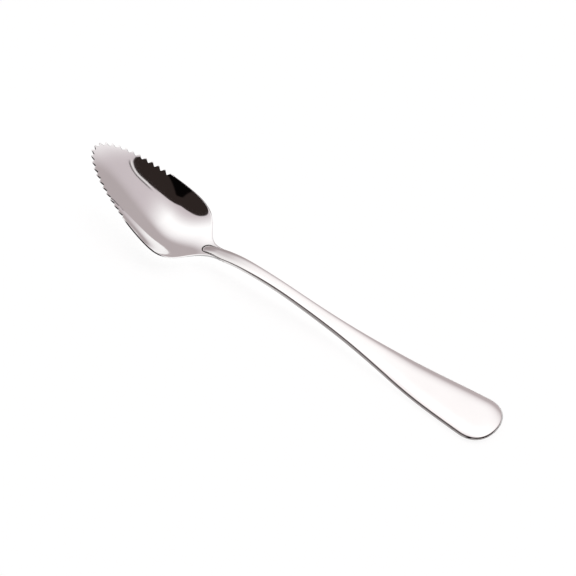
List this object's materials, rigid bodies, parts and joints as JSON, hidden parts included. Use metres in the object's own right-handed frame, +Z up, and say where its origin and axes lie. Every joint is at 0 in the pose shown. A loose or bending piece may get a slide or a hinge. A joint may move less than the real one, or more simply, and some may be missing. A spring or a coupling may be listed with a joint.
{
  "type": "grapefruit spoon",
  "caption": "Grapefruit spoon: a narrow pointed bowl with a serrated nose, brazed to a slim stem that flares into a flat, rounded grip.",
  "frame": {"origin": "under the middle of the spoon, on the surface that it lies on", "axes": "+X from the tip of the bowl to the end of the handle, +Z up out of the hollow of the bowl, +Y to the left across the bowl"},
  "size_m": [0.1734, 0.032, 0.0213],
  "materials": {
    "bowl_steel": "mirror-polished stainless steel",
    "handle_steel": "mirror-polished stainless steel",
    "braze_metal": "silver braze, polished flush"
  },
  "bodies": {
    "root": {"bowl": "bowl_steel", "handle": "handle_steel", "braze": "braze_metal"}
  },
  "joints": []
}
